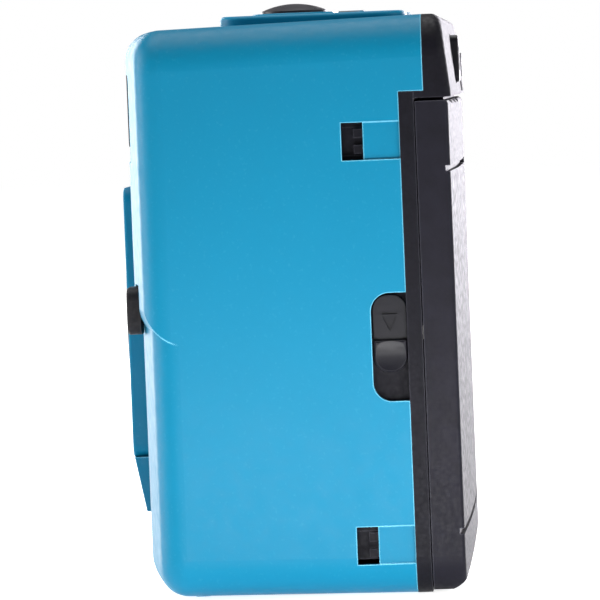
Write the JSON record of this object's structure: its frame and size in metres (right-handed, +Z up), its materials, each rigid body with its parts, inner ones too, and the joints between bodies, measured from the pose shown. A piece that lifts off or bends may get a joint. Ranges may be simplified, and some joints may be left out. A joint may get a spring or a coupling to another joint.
{
  "type": "half frame camera",
  "caption": "Compact plastic 35 mm half frame film camera with built-in flash, sliding door latch, hinged film door, thumb wheel advance and folding rewind crank.",
  "frame": {"origin": "centre of the footprint, on the surface the camera stands on", "axes": "+Z up, -Y along the lens towards the subject, +X towards the latch end of the film door"},
  "size_m": [0.11, 0.0384, 0.064],
  "materials": {
    "blue_plastic": "satin",
    "black_plastic": "fine texture",
    "black_trim": "satin",
    "clear_plastic": "clear",
    "lens_glass": "coated",
    "diffuser": "ribbed",
    "reflector": "polished",
    "steel": "bright",
    "black_steel": "matte",
    "screw_steel": "blackened",
    "foam": "foam",
    "board": "solder mask",
    "components": "moulded",
    "copper": "wound wire",
    "can": "sleeved",
    "cell": "sleeved",
    "lamp": "diffused",
    "dial": "printed",
    "contact": "plated"
  },
  "bodies": {
    "camera_body": {"front_shell": "blue_plastic", "lens_panel": "blue_plastic", "top_deck": "blue_plastic", "counter_window": "clear_plastic", "flash_window": "diffuser", "viewfinder_front_frame": "black_trim", "chassis": "black_plastic", "rear_top_cover": "black_plastic", "viewfinder_tube": "black_trim", "viewfinder_front_lens": "lens_glass", "viewfinder_rear_lens": "lens_glass", "eyepiece_frame": "black_trim", "eyepiece_window": "clear_plastic", "lens_bezel": "black_trim", "lens_barrel": "black_trim", "front_lens_element": "lens_glass", "rear_lens_element": "lens_glass", "aperture_plate": "black_steel", "shutter_plate": "black_trim", "shutter_housing": "black_trim", "shutter_pivot_pins": "steel", "light_baffle": "black_plastic", "flash_reflector": "reflector", "flash_tube": "clear_plastic", "flash_board": "board", "flash_capacitor": "can", "flash_transformer": "copper", "board_components": "components", "flash_ready_lamp": "lamp", "battery_cell": "cell", "battery_holder": "black_trim", "battery_positive_contact": "contact", "hinge_pin": "steel", "door_light_seals": "foam", "case_screws": "screw_steel", "button_spring": "steel", "latch_spring": "steel"},
    "door": {"film_door": "black_plastic", "door_catch": "black_steel", "pressure_spring": "steel"},
    "film_plate": {"pressure_plate": "black_steel"},
    "latch": {"latch_slider": "black_trim"},
    "release": {"shutter_button": "blue_plastic", "release_lever": "steel"},
    "blade": {"shutter_blade": "black_steel"},
    "trip": {"shutter_trip_lever": "steel"},
    "take_up": {"thumb_wheel": "black_trim", "take_up_spool": "black_trim"},
    "pawl": {"anti_reverse_pawl": "steel"},
    "sprocket": {"film_sprocket": "black_trim", "shutter_cam": "dial"},
    "counter": {"counter_dial": "dial"},
    "rewind": {"rewind_hub": "black_trim"},
    "crank": {"crank_arm": "black_trim"},
    "crank_grip": {"crank_knob": "black_trim"},
    "rewind_release": {"rewind_release_button": "black_trim"},
    "switch": {"flash_switch": "black_trim", "switch_contact_plate": "contact"},
    "battery_door": {"battery_cover": "black_plastic", "battery_negative_spring": "contact"}
  },
  "joints": [
    {"name": "door_hinge", "type": "hinge", "parent": "camera_body", "child": "door", "pos_m": [-0.0526, 0.017, 0.0286], "axis": [0, 0, 1], "range_deg": [0, 105]},
    {"name": "film_plate_slide", "type": "slide", "parent": "door", "child": "film_plate", "axis": [0, 1, 0], "range_m": [0, 0.0002], "stiffness_N_per_m": 1000, "springref_m": -0.0005},
    {"name": "latch_slide", "type": "slide", "parent": "camera_body", "child": "latch", "axis": [0, 0, -1], "range_m": [0, 0.0027], "stiffness_N_per_m": 150, "springref_m": -0.001, "deforming": ["latch_spring"]},
    {"name": "button_slide", "type": "slide", "parent": "camera_body", "child": "release", "axis": [0, 0, -1], "range_m": [0, 0.0008], "stiffness_N_per_m": 300, "springref_m": -0.001, "deforming": ["button_spring"]},
    {"name": "blade_swing", "type": "hinge", "parent": "camera_body", "child": "blade", "pos_m": [-0.0076, -0.00808, 0.034], "axis": [0, -1, 0], "range_deg": [0, 50], "stiffness_Nm_per_rad": 0.0005, "springref_deg": -11.46},
    {"name": "trip_swing", "type": "hinge", "parent": "camera_body", "child": "trip", "pos_m": [-0.0086, -0.0075, 0.0206], "axis": [0, 1, 0], "range_deg": [0, 8], "stiffness_Nm_per_rad": 0.0005, "springref_deg": -11.46},
    {"name": "wheel_spin", "type": "hinge", "parent": "camera_body", "child": "take_up", "pos_m": [-0.0386, 0.0074, 0.056], "axis": [0, 0, 1], "continuous": true},
    {"name": "pawl_swing", "type": "hinge", "parent": "camera_body", "child": "pawl", "pos_m": [-0.0296, 0.0014, 0.054], "axis": [0, 0, 1], "range_deg": [0, 8], "stiffness_Nm_per_rad": 0.0005, "springref_deg": -11.46},
    {"name": "sprocket_spin", "type": "hinge", "parent": "camera_body", "child": "sprocket", "pos_m": [-0.0206, 0.0066, 0.0438], "axis": [0, 0, 1], "continuous": true},
    {"name": "counter_spin", "type": "hinge", "parent": "camera_body", "child": "counter", "pos_m": [-0.0206, 0.0066, 0.0604], "axis": [0, 0, 1], "continuous": true},
    {"name": "rewind_spin", "type": "hinge", "parent": "camera_body", "child": "rewind", "pos_m": [0.0392, 0.003, 0.002], "axis": [0, 0, 1], "continuous": true},
    {"name": "crank_fold", "type": "hinge", "parent": "rewind", "child": "crank", "pos_m": [0.0392, 0.003, 0.0013], "axis": [0, 1, 0], "range_deg": [0, 130]},
    {"name": "crank_grip_spin", "type": "hinge", "parent": "crank", "child": "crank_grip", "pos_m": [0.0446, 0.003, 0.0013], "axis": [0, 0, 1], "continuous": true},
    {"name": "rewind_release_push", "type": "slide", "parent": "camera_body", "child": "rewind_release", "axis": [0, 0, 1], "range_m": [0, 0.0012], "stiffness_N_per_m": 150, "springref_m": -0.001},
    {"name": "switch_slide", "type": "slide", "parent": "camera_body", "child": "switch", "axis": [1, 0, 0], "range_m": [0, 0.004]},
    {"name": "battery_door_hinge", "type": "hinge", "parent": "camera_body", "child": "battery_door", "pos_m": [0.0184, -0.01185, 0.00128], "axis": [-1, 0, 0], "range_deg": [0, 95]}
  ],
  "couplings": [
    {"joint": "counter_spin", "follows": "sprocket_spin", "ratio": 0.025}
  ]
}
